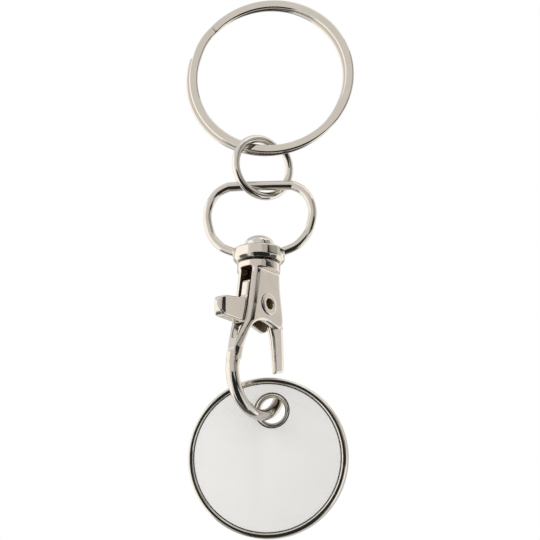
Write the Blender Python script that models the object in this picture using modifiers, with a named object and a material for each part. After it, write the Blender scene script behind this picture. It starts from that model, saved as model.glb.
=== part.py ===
"""Keyring with a trolley-coin token: split ring, jump ring, swivel trigger snap and round token.

Metres, +Z up, seen along +Y. The chain hangs from the inside top of its key ring, which is the
origin. Each body has an empty on its joint's axis, and its pieces are drawn in that empty's frame:
local X to the right, local Y up and local Z toward the viewer.
"""

import math

import bmesh
import bpy
from mathutils import Matrix, Vector

# Fits
SEAT_GAP = 0.00028
RUN_GAP = 0.00008
CUT_OVERRUN = 0.0012
WELD_DISTANCE = 0.000002

# Key ring: two turns of flat spring wire with one crossover
KEY_INNER_DIAMETER = 0.02125
KEY_BAND_WIDTH = 0.0016
KEY_BAND_THICKNESS = 0.00056
KEY_BAND_EDGE = 0.00026
KEY_LAYER_GAP = 0.00008
KEY_FRONT_END = math.radians(139)
KEY_CROSSOVER = math.radians(25)
KEY_YAW = math.radians(-5.6)
KEY_PITCH = math.radians(9.8)
KEY_ROLL = math.radians(-1.2)

# Jump ring: one turn of round wire, its ends side by side
JUMP_MEAN_RADIUS = 0.00434
JUMP_WIRE = 0.00115
JUMP_END_GAP = 0.0001
JUMP_FRONT_END = math.radians(33)
JUMP_CUT = math.radians(5)
JUMP_YAW = math.radians(31.8)
JUMP_PITCH = math.radians(2.3)
JUMP_KEY_ANGLE = math.radians(71.2)
JUMP_KEY_SHIFT = 0.00011
JUMP_BAR_ANGLE = math.radians(268.9)

# Swivel eye: a bar and two arms in one loop, cast in one piece with the collar
EYE_BAR = 0.00138
EYE_ARM = 0.00126
EYE_WIDTH = 0.0166
EYE_WINDOW = 0.00908
EYE_BAR_SLIDE = 0.00022
EYE_YAW = math.radians(-8)
EYE_PITCH = math.radians(6.6)
EYE_ROLL = math.radians(-0.2)
COLLAR_RADIUS = 0.0037
COLLAR_HEIGHT = 0.002
COLLAR_TOP_EDGE = 0.00025
COLLAR_FOOT_EDGE = 0.0005
EYE_ARM_SHARES = (
    (0.50, 0.0),
    (0.70, 0.004),
    (0.885, 0.058),
    (0.975, 0.200),
    (1.0, 0.387),
    (0.97, 0.557),
    (0.89, 0.715),
    (0.70, 0.860),
    (0.46, 0.935),
    (0.34, 0.96),
)

# Swivel rivet: domed head above the collar, shank, and a foot spread under the hook's web
RIVET_HEAD_RADIUS = 0.0021
RIVET_HEAD_HEIGHT = 0.0018
RIVET_HEAD_FLAT = 0.0011
RIVET_SHANK_RADIUS = 0.001
RIVET_FOOT_RADIUS = 0.00145
RIVET_FOOT_HEIGHT = 0.0005

# Hook body
SWIVEL_TURN = math.radians(59.6)
NECK_RADIUS = 0.0031
NECK_HEIGHT = 0.00124
BODY_THICKNESS = 0.0038
BODY_EDGE = 0.0004
BODY_HALF_WIDTH = 0.00345
BODY_LENGTH = 0.0134
BODY_CORNER_RADIUS = 0.0006
WEB_BOTTOM = 0.00129
SLOT_WIDTH = 0.002
SLOT_FULL_FLOOR = 0.0029
SLOT_LOWER_FLOOR = 0.0007
SPRING_WALL = 0.0015
SPRING_WALL_ABOVE_PIVOT = 0.00086
CHEEK_TAPER_INSET = 0.0036
CHEEK_TAPER_LENGTH = 0.0044
ARM_THICKNESS = 0.00196
SLOT_END_SHARE = 0.4
BODY_OUTLINE_SHARES = (
    (-0.681, -0.056),
    (-0.797, -0.134),
    (-0.870, -0.254),
    (-0.933, -0.373),
    (-1.029, -0.537),
    (-1.194, -0.731),
    (-1.377, -0.828),
    (-1.559, -0.937),
    (-1.745, -1.075),
    (-1.826, -1.209),
    (-1.339, -1.209),
    (-1.270, -1.119),
    (-1.188, -1.030),
    (-1.142, -0.952),
    (-1.081, -0.883),
    (-1.003, -0.834),
    (-0.893, -0.782),
    (-0.733, -0.743),
    (-0.551, -0.714),
    (-0.284, -0.692),
    (-0.012, -0.687),
    (0.261, -0.697),
    (0.533, -0.712),
    (0.812, -0.725),
    (1.014, -0.694),
    (1.061, -0.634),
    (1.029, -0.552),
    (0.957, -0.455),
    (0.875, -0.351),
    (0.806, -0.239),
    (0.771, -0.119),
    (0.725, -0.056),
)
HOOK_WIRE = 0.00195
HOOK_TIP_WIRE = 0.00166
BOWL_RADIUS = 0.00565
BOWL_BELOW_BODY = 0.00375
BOWL_OFFSET = 0.00005
ARM_TOP_OFFSET = 0.0053
ARM_TOP_BELOW_BODY = 0.0016
TIP_BEND_RADIUS = 0.0013
TIP_BEND = math.radians(12)
TIP_END_WIRE = 0.0011
TAPER_SHARE = 1.5

# Lever, its rivet and its spring
PIVOT_OFFSET = 0.0001
PIVOT_SHARE = 0.48955
LEVER_PLAY = 0.0001
LEVER_BOSS_RADIUS = 0.0016
LEVER_BOSS_START = math.radians(115)
LEVER_BOSS_END = math.radians(-95)
TAIL_HEIGHT = 0.00328
TAIL_OUTER = 0.00345
TAB_REACH = 0.0096
TAB_BOTTOM = 0.00368
TAB_EDGE = 0.0003
GATE_TIP_ROOM = 0.0013
GATE_OFFSET = 0.00585
GATE_WIDTH = 0.00205
GATE_ROOT_THICKNESS = 0.0013
GATE_END_THICKNESS = 0.0009
LEVER_PLATE_SHARES = (
    (-1.0, 0.84),
    (-0.92, 0.97),
    (-0.80, 1.0),
    (-0.68, 0.93),
    (-0.60, 0.70),
)
TAB_SHARES = (
    (-0.427, -0.959),
    (-0.9375, -1.0),
    (-0.984, -0.918),
    (-1.0, -0.674),
    (-1.0, -0.340),
    (-0.969, -0.217),
    (-0.875, -0.177),
    (-0.427, 0.037),
    (-0.391, 0.177),
)
GATE_OUTER_SHARES = (
    (0.239, 0.010),
    (0.615, -0.024),
    (0.821, -0.111),
    (0.892, -0.231),
    (0.930, -0.394),
    (0.964, -0.606),
    (0.991, -0.769),
    (1.000, -0.909),
)
GATE_INNER_SHARES = (
    (1.000, -1.000),
    (0.953, -0.812),
    (0.874, -0.600),
    (0.789, -0.413),
    (0.645, -0.279),
    (0.421, -0.192),
    (0.132, -0.139),
)
TUBE_RIVET_RADIUS = 0.0011
TUBE_RIVET_BORE = 0.0008
TUBE_RIVET_FLARE = 0.0016
TUBE_RIVET_RIM = 0.0003
SPRING_WIRE = 0.00025
SPRING_COIL_RADIUS = 0.00055
SPRING_PITCH = 0.0007
SPRING_LIFT = 0.0026
SPRING_BEVEL_STEPS = 1

# Token
TOKEN_DIAMETER = 0.02325
TOKEN_THICKNESS = 0.002
TOKEN_RIM_WIDTH = 0.00085
TOKEN_RIM_EDGE = 0.0003
TOKEN_WEB_THICKNESS = 0.0007
TOKEN_HOLE_MARGIN = 0.004725
TOKEN_HOOK_ANGLE = math.radians(-47)
TOKEN_SAG = 0.00005
TOKEN_YAW = math.radians(-9.6)
TOKEN_PITCH = math.radians(-7.5)
TOKEN_ROLL = math.radians(-6.8)
INLAY_THICKNESS = 0.00035
INLAY_GAP = 0.0001
EYELET_FLANGE_RADIUS = 0.0026
EYELET_BARREL_RADIUS = 0.0021
EYELET_BORE_RADIUS = 0.00185
EYELET_MOUTH_RADIUS = 0.0023
EYELET_BORE_HALF_LENGTH = 0.0005
EYELET_FLANGE_THICKNESS = 0.0004

# Finish of each material: colour, roughness, metallic
NICKEL = ((0.62, 0.60, 0.56), 0.16, 1.0)
CAST_NICKEL = ((0.60, 0.57, 0.53), 0.24, 1.0)
SPRING_STEEL = ((0.45, 0.44, 0.42), 0.35, 1.0)
PALE_FACE = ((0.78, 0.77, 0.75), 0.45, 0.0)

# Steps round a shape
TURN_STEPS = 32
WIRE_BEVEL_STEPS = 4
LOOP_KNOT_STEPS = 3
KEY_RING_STEPS = 60
JUMP_RING_STEPS = 36
BOWL_STEPS = 20
TIP_STEPS = 4
TAPER_STEPS = 4
FILLET_STEPS = 2
FILLET_REACH_SHARE = 0.45
COLLAR_STEPS = 48
TOKEN_STEPS = 60
TUBE_STEPS = 24
DOME_STEPS = 6
BOSS_STEPS = 12
EDGE_STEPS = 2
SHARP_EDGE = math.radians(50)
SPRING_CURL_STEPS = 10

CUT_REACH = 3 * BODY_HALF_WIDTH
CHEEK_TAPER_START = BODY_LENGTH - CHEEK_TAPER_INSET
SLOT_FULL_END = BODY_LENGTH - SLOT_FULL_FLOOR
SLOT_LOWER_END = BODY_LENGTH - SLOT_LOWER_FLOOR
ARM_TOP_DROP = BODY_LENGTH + ARM_TOP_BELOW_BODY
BOWL_DROP = BODY_LENGTH + BOWL_BELOW_BODY
PIVOT_DROP = PIVOT_SHARE * BODY_LENGTH
SPRING_WALL_END = PIVOT_DROP - SPRING_WALL_ABOVE_PIVOT
GATE_LENGTH = BOWL_DROP - PIVOT_DROP - GATE_TIP_ROOM
KEY_MEAN_RADIUS = (KEY_INNER_DIAMETER + KEY_BAND_WIDTH) / 2
KEY_LAYER_PITCH = KEY_BAND_THICKNESS + KEY_LAYER_GAP
EYE_HEIGHT = EYE_BAR / 2 + EYE_WINDOW + COLLAR_HEIGHT
LEVER_THICKNESS = SLOT_WIDTH - 2 * LEVER_PLAY
TOKEN_RADIUS = TOKEN_DIAMETER / 2
TOKEN_HOLE_OFFSET = TOKEN_RADIUS - TOKEN_HOLE_MARGIN
TOKEN_RECESS_RADIUS = TOKEN_RADIUS - TOKEN_RIM_WIDTH


def clear_scene():
    """Remove every object that the scene holds."""
    for item in list(bpy.data.objects):
        bpy.data.objects.remove(item, do_unlink=True)


def new_collection(name):
    """Add a collection to the scene."""
    collection = bpy.data.collections.new(name)
    bpy.context.scene.collection.children.link(collection)
    return collection


def make_material(name, finish):
    """A Principled material with one colour, roughness and metallic value."""
    color, roughness, metallic = finish
    material = bpy.data.materials.new(name)
    material.use_nodes = True
    shader = material.node_tree.nodes["Principled BSDF"]
    shader.inputs["Base Color"].default_value = (*color, 1.0)
    shader.inputs["Roughness"].default_value = roughness
    shader.inputs["Metallic"].default_value = metallic
    return material


def facing(yaw, pitch, roll):
    """Rotation from a drawing in XY to one that stands up and faces the viewer."""
    turn = Matrix.Rotation(yaw, 4, "Z")
    lean = Matrix.Rotation(math.pi / 2 - pitch, 4, "X")
    spin = Matrix.Rotation(roll, 4, "Z")
    return turn @ lean @ spin


def polar(radius, angle):
    """Point of the XY plane at a radius and an angle from +X."""
    return Vector((radius * math.cos(angle), radius * math.sin(angle), 0))


def arc(center, radius, start, end, steps):
    """Points along an arc, both ends included."""
    angles = [start + (end - start) * step / steps for step in range(steps + 1)]
    return [center + polar(radius, angle) for angle in angles]


def smooth_step(share):
    """Ease from 0 to 1 with level ends."""
    held = min(max(share, 0), 1)
    return held * held * (3 - 2 * held)


def filleted(corners, radius):
    """A closed outline with each corner rounded, as far as its sides allow."""
    points = []
    for index, corner in enumerate(corners):
        before = corners[index - 1] - corner
        after = corners[(index + 1) % len(corners)] - corner
        reach = min(before.length, after.length) * FILLET_REACH_SHARE
        angle = before.angle(after)
        setback = min(radius / math.tan(angle / 2), reach)
        start = corner + before.normalized() * setback
        end = corner + after.normalized() * setback
        for step in range(FILLET_STEPS + 1):
            share = step / FILLET_STEPS
            first = start.lerp(corner, share)
            second = corner.lerp(end, share)
            points.append(first.lerp(second, share))
    return points


def place(item, empty, local=None):
    """Hang an object on a body's empty."""
    item.parent = empty
    item.matrix_parent_inverse = Matrix.Identity(4)
    item.matrix_basis = local if local else Matrix.Identity(4)


def smooth(item):
    """Shade a mesh smooth except at its sharp edges."""
    item.data.shade_smooth()
    item.data.set_sharp_from_angle(angle=SHARP_EDGE)


def curve_object(name, points, collection, closed=False, radii=None):
    """A poly curve through points, with an optional radius for each point."""
    data = bpy.data.curves.new(name, "CURVE")
    data.dimensions = "3D"
    data.twist_mode = "Z_UP"
    data.use_fill_caps = True
    spline = data.splines.new("POLY")
    spline.points.add(len(points) - 1)
    spline.use_cyclic_u = closed
    spline.use_smooth = True
    for index, point in enumerate(points):
        spline.points[index].co = (*point, 1)
        spline.points[index].radius = radii[index] if radii else 1
    item = bpy.data.objects.new(name, data)
    collection.objects.link(item)
    return item


def curve_to_mesh(curve, collection):
    """Turn a curve object into a closed mesh object of the same name and place."""
    graph = bpy.context.evaluated_depsgraph_get()
    data = bpy.data.meshes.new_from_object(curve.evaluated_get(graph))
    shape = bmesh.new()
    shape.from_mesh(data)
    bmesh.ops.remove_doubles(shape, verts=shape.verts, dist=WELD_DISTANCE)
    bmesh.ops.recalc_face_normals(shape, faces=shape.faces)
    shape.to_mesh(data)
    shape.free()
    name = curve.name
    frame = curve.matrix_world.copy()
    bpy.data.objects.remove(curve, do_unlink=True)
    item = bpy.data.objects.new(name, data)
    item.matrix_world = frame
    collection.objects.link(item)
    return item


def plate(name, outline, thickness, edge, collection):
    """A flat piece with a drawn outline, centred on local Z, with rounded edges."""
    data = bpy.data.curves.new(name, "CURVE")
    data.dimensions = "2D"
    data.fill_mode = "BOTH"
    data.extrude = thickness / 2
    spline = data.splines.new("POLY")
    spline.points.add(len(outline) - 1)
    spline.use_cyclic_u = True
    for index, point in enumerate(outline):
        spline.points[index].co = (point[0], point[1], 0, 1)
    curve = bpy.data.objects.new(name, data)
    collection.objects.link(curve)
    item = curve_to_mesh(curve, collection)
    smooth(item)
    if edge:
        bevel = item.modifiers.new("edges", "BEVEL")
        bevel.width = edge
        bevel.segments = EDGE_STEPS
        bevel.limit_method = "ANGLE"
        bevel.angle_limit = SHARP_EDGE
    return item


def turned(name, profile, collection, steps=TURN_STEPS):
    """A profile of (radius, height) pairs turned about local Z, closed unless it starts on Z."""
    data = bpy.data.meshes.new(name)
    places = [(radius, 0, height) for radius, height in profile]
    count = len(profile)
    links = [(index, index + 1) for index in range(count - 1)]
    if profile[0][0] > 0:
        links.append((count - 1, 0))
    data.from_pydata(places, links, [])
    item = bpy.data.objects.new(name, data)
    collection.objects.link(item)
    screw = item.modifiers.new("turn", "SCREW")
    screw.axis = "Z"
    screw.steps = steps
    screw.render_steps = steps
    screw.use_merge_vertices = True
    screw.merge_threshold = WELD_DISTANCE
    screw.use_smooth_shade = True
    return item


def box_cutter(name, low, high, cutters):
    """A box between two corners, kept with the cutters."""
    data = bpy.data.meshes.new(name)
    shape = bmesh.new()
    bmesh.ops.create_cube(shape, size=1)
    size = high - low
    bmesh.ops.scale(shape, vec=size, verts=shape.verts)
    bmesh.ops.translate(shape, vec=(low + high) / 2, verts=shape.verts)
    shape.to_mesh(data)
    shape.free()
    item = bpy.data.objects.new(name, data)
    cutters.objects.link(item)
    return item


def cylinder_cutter(name, radius, low, high, axis, cutters):
    """A cylinder along local Y or Z between two heights, kept with the cutters."""
    item = bpy.data.objects.new(name, bpy.data.meshes.new(name))
    shape = bmesh.new()
    depth = high - low
    bmesh.ops.create_cone(
        shape, cap_ends=True, segments=TURN_STEPS, radius1=radius, radius2=radius, depth=depth
    )
    bmesh.ops.translate(shape, vec=(0, 0, (high + low) / 2), verts=shape.verts)
    if axis == "Y":
        bmesh.ops.rotate(shape, matrix=Matrix.Rotation(-math.pi / 2, 3, "X"), verts=shape.verts)
    shape.to_mesh(item.data)
    shape.free()
    cutters.objects.link(item)
    return item


def combine(item, other, operation, empty, local=None):
    """Join or cut a piece with another object, which stays as a hidden guide."""
    place(other, empty, local)
    other.hide_render = True
    other.display_type = "WIRE"
    modifier = item.modifiers.new(other.name, "BOOLEAN")
    modifier.operation = operation
    modifier.solver = "EXACT"
    modifier.object = other
    return item


def make_key_ring(parts, cutters, empty, material):
    """Two turns of flat wire: the front layer, the crossover and the back layer."""
    layer = 2 * math.pi - KEY_CROSSOVER
    total = 2 * layer + KEY_CROSSOVER
    points = []
    for step in range(KEY_RING_STEPS * 2 + 1):
        run = total * step / (KEY_RING_STEPS * 2)
        back = smooth_step((run - layer) / KEY_CROSSOVER)
        point = polar(KEY_MEAN_RADIUS, KEY_FRONT_END - run)
        point.z = KEY_LAYER_PITCH * (0.5 - back)
        points.append(point)
    half_width = KEY_BAND_WIDTH / 2
    half_thickness = KEY_BAND_THICKNESS / 2
    corners = [
        Vector((-half_width, -half_thickness)),
        Vector((half_width, -half_thickness)),
        Vector((half_width, half_thickness)),
        Vector((-half_width, half_thickness)),
    ]
    section_points = [point.to_3d() for point in filleted(corners, KEY_BAND_EDGE)]
    section = curve_object("key_ring_section", section_points, cutters, closed=True)
    section.data.dimensions = "2D"
    section.data.fill_mode = "NONE"
    section.hide_render = True
    section.display_type = "WIRE"
    band = curve_object("key_ring", points, parts)
    band.data.bevel_mode = "OBJECT"
    band.data.bevel_object = section
    ring = curve_to_mesh(band, parts)
    smooth(ring)
    ring.data.materials.append(material)
    place(ring, empty)
    return ring


def make_jump_ring(parts, empty, material):
    """One turn of round wire whose ends lie side by side."""
    depth = (JUMP_WIRE + JUMP_END_GAP) / 2
    total = 2 * math.pi - JUMP_CUT
    center = jump_center()
    points = []
    for step in range(JUMP_RING_STEPS + 1):
        share = step / JUMP_RING_STEPS
        point = center + polar(JUMP_MEAN_RADIUS, JUMP_FRONT_END - total * share)
        point.z += depth * (1 - 2 * share)
        points.append(point)
    ring = curve_object("jump_ring", points, parts)
    ring.data.bevel_depth = JUMP_WIRE / 2
    ring.data.bevel_resolution = WIRE_BEVEL_STEPS
    ring.data.materials.append(material)
    place(ring, empty)
    return ring


def jump_center():
    """Centre of the jump ring, from the middle of the key ring's band that it hangs on."""
    seat = JUMP_MEAN_RADIUS - JUMP_WIRE / 2 - KEY_BAND_WIDTH / 2 - SEAT_GAP
    return Vector((0, 0, -JUMP_KEY_SHIFT)) - polar(seat, JUMP_KEY_ANGLE)


def jump_bar_seat():
    """Distance from the jump ring's centre to the middle of the eye's bar."""
    return JUMP_MEAN_RADIUS - JUMP_WIRE / 2 - EYE_BAR / 2 - SEAT_GAP


def make_swivel_eye(parts, cutters, empty, material):
    """The loop, with its bar on local X, joined to a bored collar."""
    half_width = (EYE_WIDTH - EYE_ARM) / 2
    height = EYE_HEIGHT - COLLAR_HEIGHT / 2
    right = [Vector((half_width * across, -height * down, 0)) for across, down in EYE_ARM_SHARES]
    left = [Vector((-point.x, point.y, 0)) for point in right]
    path = list(reversed(left)) + right
    data = bpy.data.curves.new("eye_loop", "CURVE")
    data.dimensions = "3D"
    data.use_fill_caps = True
    data.resolution_u = LOOP_KNOT_STEPS
    data.bevel_depth = EYE_BAR / 2
    data.bevel_resolution = WIRE_BEVEL_STEPS
    spline = data.splines.new("BEZIER")
    spline.bezier_points.add(len(path) - 1)
    arm_ratio = EYE_ARM / EYE_BAR
    for point, knot in zip(path, spline.bezier_points):
        knot.co = point
        knot.handle_left_type = "AUTO"
        knot.handle_right_type = "AUTO"
        knot.radius = 1 if point.y > -EYE_BAR / 2 else arm_ratio
    curve = bpy.data.objects.new("eye_loop", data)
    cutters.objects.link(curve)
    loop = curve_to_mesh(curve, cutters)
    collar_profile = [
        (0, COLLAR_HEIGHT),
        (COLLAR_RADIUS - COLLAR_TOP_EDGE, COLLAR_HEIGHT),
        (COLLAR_RADIUS, COLLAR_HEIGHT - COLLAR_TOP_EDGE),
        (COLLAR_RADIUS, COLLAR_FOOT_EDGE),
        (COLLAR_RADIUS - COLLAR_FOOT_EDGE, 0),
        (0, 0),
    ]
    eye = turned("swivel_eye", collar_profile, parts, COLLAR_STEPS)
    upright = Matrix.Translation((0, -EYE_HEIGHT, 0)) @ Matrix.Rotation(-math.pi / 2, 4, "X")
    place(eye, empty, upright)
    combine(eye, loop, "UNION", empty)
    bore = RIVET_SHANK_RADIUS + RUN_GAP
    bore_cutter = cylinder_cutter(
        "collar_bore", bore, -CUT_OVERRUN, COLLAR_HEIGHT + CUT_OVERRUN, "Z", cutters
    )
    combine(eye, bore_cutter, "DIFFERENCE", empty, upright)
    eye.data.materials.append(material)
    return eye


def make_swivel_rivet(parts, empty, material):
    """Domed head, shank through the collar and the web, and a spread foot."""
    head_bottom = COLLAR_HEIGHT + SEAT_GAP
    head_top = head_bottom + RIVET_HEAD_HEIGHT
    side_top = head_bottom + RIVET_HEAD_FLAT
    dome = head_top - side_top
    foot_top = -WEB_BOTTOM - SEAT_GAP / 2
    foot_bottom = foot_top - RIVET_FOOT_HEIGHT
    profile = [(0, head_top)]
    for step in range(1, DOME_STEPS + 1):
        angle = math.pi / 2 * step / DOME_STEPS
        profile.append((RIVET_HEAD_RADIUS * math.sin(angle), side_top + dome * math.cos(angle)))
    profile += [
        (RIVET_HEAD_RADIUS, head_bottom),
        (RIVET_SHANK_RADIUS, head_bottom),
        (RIVET_SHANK_RADIUS, foot_top),
        (RIVET_FOOT_RADIUS, foot_top),
        (RIVET_FOOT_RADIUS, foot_bottom),
        (0, foot_bottom),
    ]
    rivet = turned("swivel_rivet", profile, parts)
    rivet.data.materials.append(material)
    place(rivet, empty, Matrix.Rotation(-math.pi / 2, 4, "X"))
    return rivet


def hook_wire_path():
    """Centre line of the arm, the bowl and the tip, from the body down and round."""
    bowl_center = Vector((BOWL_OFFSET, -BOWL_DROP, 0))
    top = Vector((-ARM_TOP_OFFSET, -ARM_TOP_DROP, 0))
    points = [top] + arc(bowl_center, BOWL_RADIUS, math.pi, 2 * math.pi, BOWL_STEPS)
    bend_center = bowl_center + Vector((BOWL_RADIUS - TIP_BEND_RADIUS, 0, 0))
    points += arc(bend_center, TIP_BEND_RADIUS, 0, TIP_BEND, TIP_STEPS)[1:]
    return points


def hook_wire_radii():
    """Scale of the wire at each point: full on the arm, thinner in the eyelet, least at the tip."""
    radii = [1.0]
    bowl_end = HOOK_TIP_WIRE / HOOK_WIRE
    for step in range(BOWL_STEPS + 1):
        radii.append(1 + (bowl_end - 1) * smooth_step(step * TAPER_SHARE / BOWL_STEPS))
    tip_end = TIP_END_WIRE / HOOK_WIRE
    for step in range(1, TIP_STEPS + 1):
        radii.append(bowl_end + (tip_end - bowl_end) * step / TIP_STEPS)
    return radii


def make_hook_body(parts, cutters, empty, material):
    """Neck, slotted body, arm, bowl and tip in one casting."""
    corners = [
        Vector((across * BODY_HALF_WIDTH, down * BODY_LENGTH, 0)) for across, down in BODY_OUTLINE_SHARES
    ]
    outline = filleted(corners, BODY_CORNER_RADIUS)
    body = plate("hook_body", outline, BODY_THICKNESS, BODY_EDGE, parts)
    taper_cheeks(body)
    place(body, empty)
    neck_top = -SEAT_GAP
    neck = cylinder_cutter("hook_neck", NECK_RADIUS, neck_top - NECK_HEIGHT, neck_top, "Y", cutters)
    combine(body, neck, "UNION", empty)
    wire = curve_object("hook_wire", hook_wire_path(), cutters, radii=hook_wire_radii())
    wire.data.bevel_depth = HOOK_WIRE / 2
    wire.data.bevel_resolution = WIRE_BEVEL_STEPS
    combine(body, curve_to_mesh(wire, cutters), "UNION", empty)
    half_slot = SLOT_WIDTH / 2
    upper_slot = box_cutter(
        "upper_slot",
        Vector((-CUT_REACH, -SPRING_WALL_END - CUT_OVERRUN, -half_slot)),
        Vector((BODY_HALF_WIDTH - SPRING_WALL, -WEB_BOTTOM, half_slot)),
        cutters,
    )
    combine(body, upper_slot, "DIFFERENCE", empty)
    lower_slot = box_cutter(
        "lower_slot",
        Vector((-CUT_REACH, -SLOT_FULL_END, -half_slot)),
        Vector((CUT_REACH, -SPRING_WALL_END, half_slot)),
        cutters,
    )
    combine(body, lower_slot, "DIFFERENCE", empty)
    slot_end = box_cutter(
        "slot_end",
        Vector((-CUT_REACH, -SLOT_LOWER_END, -half_slot)),
        Vector((CUT_REACH, -SLOT_FULL_END + CUT_OVERRUN, half_slot)),
        cutters,
    )
    for vertex in slot_end.data.vertices:
        if vertex.co.y < -SLOT_FULL_END:
            vertex.co.z *= SLOT_END_SHARE
    combine(body, slot_end, "DIFFERENCE", empty)
    shank_bore = cylinder_cutter(
        "neck_bore", RIVET_SHANK_RADIUS + RUN_GAP, -WEB_BOTTOM - CUT_OVERRUN, CUT_OVERRUN, "Y", cutters
    )
    combine(body, shank_bore, "DIFFERENCE", empty)
    foot_room = WEB_BOTTOM + SEAT_GAP + RIVET_FOOT_HEIGHT + SEAT_GAP
    foot_pocket = cylinder_cutter(
        "foot_pocket", RIVET_FOOT_RADIUS + RUN_GAP, -foot_room, -WEB_BOTTOM, "Y", cutters
    )
    combine(body, foot_pocket, "DIFFERENCE", empty)
    pivot = Matrix.Translation((PIVOT_OFFSET, -PIVOT_DROP, 0))
    pivot_bore = cylinder_cutter(
        "pivot_bore", TUBE_RIVET_RADIUS + RUN_GAP, -BODY_THICKNESS, BODY_THICKNESS, "Z", cutters
    )
    combine(body, pivot_bore, "DIFFERENCE", empty, pivot)
    body.data.materials.append(material)
    return body


def taper_cheeks(item):
    """Slice the body's plate across and thin it step by step toward the arm."""
    shape = bmesh.new()
    shape.from_mesh(item.data)
    for step in range(TAPER_STEPS + 1):
        drop = CHEEK_TAPER_START + CHEEK_TAPER_LENGTH * step / TAPER_STEPS
        pieces = shape.verts[:] + shape.edges[:] + shape.faces[:]
        bmesh.ops.bisect_plane(shape, geom=pieces, plane_co=(0, -drop, 0), plane_no=(0, 1, 0))
    for vertex in shape.verts:
        share = min(max((-vertex.co.y - CHEEK_TAPER_START) / CHEEK_TAPER_LENGTH, 0), 1)
        vertex.co.z *= 1 - share * (1 - ARM_THICKNESS / BODY_THICKNESS)
    shape.to_mesh(item.data)
    shape.free()


def lever_plate_outline():
    """Outline of the tail, the thumb tab and the boss, about the pivot."""
    boss = arc(Vector((0, 0, 0)), LEVER_BOSS_RADIUS, LEVER_BOSS_START, LEVER_BOSS_END, BOSS_STEPS)
    tail = [Vector((across * TAIL_OUTER, up * TAIL_HEIGHT, 0)) for across, up in LEVER_PLATE_SHARES]
    tab = [Vector((across * TAB_REACH, up * TAB_BOTTOM, 0)) for across, up in TAB_SHARES]
    return tail + boss + tab


def make_gate_lever(parts, cutters, empty, material):
    """Tail, thumb tab and boss in one plate, with the thinner gate arm joined to it."""
    lever = plate("gate_lever", lever_plate_outline(), LEVER_THICKNESS, TAB_EDGE, parts)
    place(lever, empty)
    outer = [Vector((across * GATE_OFFSET, down * GATE_LENGTH, 0)) for across, down in GATE_OUTER_SHARES]
    inner_offset = GATE_OFFSET - GATE_WIDTH
    inner = [Vector((across * inner_offset, down * GATE_LENGTH, 0)) for across, down in GATE_INNER_SHARES]
    arm = plate("gate_arm", outer + inner, GATE_ROOT_THICKNESS, 0, cutters)
    end_ratio = GATE_END_THICKNESS / GATE_ROOT_THICKNESS
    for vertex in arm.data.vertices:
        share = smooth_step(-vertex.co.y / GATE_LENGTH)
        vertex.co.z *= 1 + (end_ratio - 1) * share
    combine(lever, arm, "UNION", empty)
    bore = cylinder_cutter(
        "lever_bore", TUBE_RIVET_RADIUS + RUN_GAP, -LEVER_THICKNESS, LEVER_THICKNESS, "Z", cutters
    )
    combine(lever, bore, "DIFFERENCE", empty)
    lever.data.materials.append(material)
    return lever


def make_pivot_rivet(parts, empty, material):
    """Tube through both cheeks and the lever, with a flared rim outside each cheek."""
    rim_low = BODY_THICKNESS / 2 + RUN_GAP
    rim_high = rim_low + TUBE_RIVET_RIM
    middle = (TUBE_RIVET_FLARE + TUBE_RIVET_BORE) / 2
    upper = [
        (TUBE_RIVET_BORE, rim_low),
        (TUBE_RIVET_BORE + TUBE_RIVET_RIM / 2, rim_high - TUBE_RIVET_RIM / 4),
        (middle, rim_high),
        (TUBE_RIVET_FLARE - TUBE_RIVET_RIM / 2, rim_high - TUBE_RIVET_RIM / 4),
        (TUBE_RIVET_FLARE, rim_low),
        (TUBE_RIVET_RADIUS, rim_low),
    ]
    lower = [(radius, -height) for radius, height in reversed(upper)]
    rivet = turned("pivot_rivet", upper + lower, parts, TUBE_STEPS)
    rivet.data.materials.append(material)
    place(rivet, empty)
    return rivet


def make_gate_spring(parts, empty, material):
    """Small compression spring between the lever's tail and the body's inner wall."""
    wall = BODY_HALF_WIDTH - SPRING_WALL - PIVOT_OFFSET
    tail_face = -LEVER_PLATE_SHARES[-1][0] * TAIL_OUTER
    length = wall + tail_face - 2 * SEAT_GAP
    straight = SPRING_WIRE
    curls = (length - 2 * straight) / SPRING_PITCH
    steps = int(curls * SPRING_CURL_STEPS)
    start = -tail_face + SEAT_GAP
    points = [Vector((start, SPRING_LIFT + SPRING_COIL_RADIUS, 0))]
    for step in range(steps + 1):
        angle = 2 * math.pi * step / SPRING_CURL_STEPS
        along = start + straight + (length - 2 * straight) * step / steps
        across = SPRING_COIL_RADIUS * math.cos(angle)
        depth = SPRING_COIL_RADIUS * math.sin(angle)
        points.append(Vector((along, SPRING_LIFT + across, depth)))
    last = points[-1]
    points.append(Vector((last.x + straight, last.y, last.z)))
    spring = curve_object("gate_spring", points, parts)
    spring.data.twist_mode = "MINIMUM"
    spring.data.bevel_depth = SPRING_WIRE / 2
    spring.data.bevel_resolution = SPRING_BEVEL_STEPS
    spring.data.materials.append(material)
    place(spring, empty)
    report_spring_gap(points)
    return spring


def report_spring_gap(points):
    """Print the least gap between one curl of the spring and the next."""
    least = math.inf
    for first, place_one in enumerate(points):
        for place_two in points[first + SPRING_CURL_STEPS * 3 // 4:]:
            least = min(least, (place_one - place_two).length - SPRING_WIRE)
    print(f"least gap between the spring's curls: {least * 1000:.2f} mm")


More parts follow.
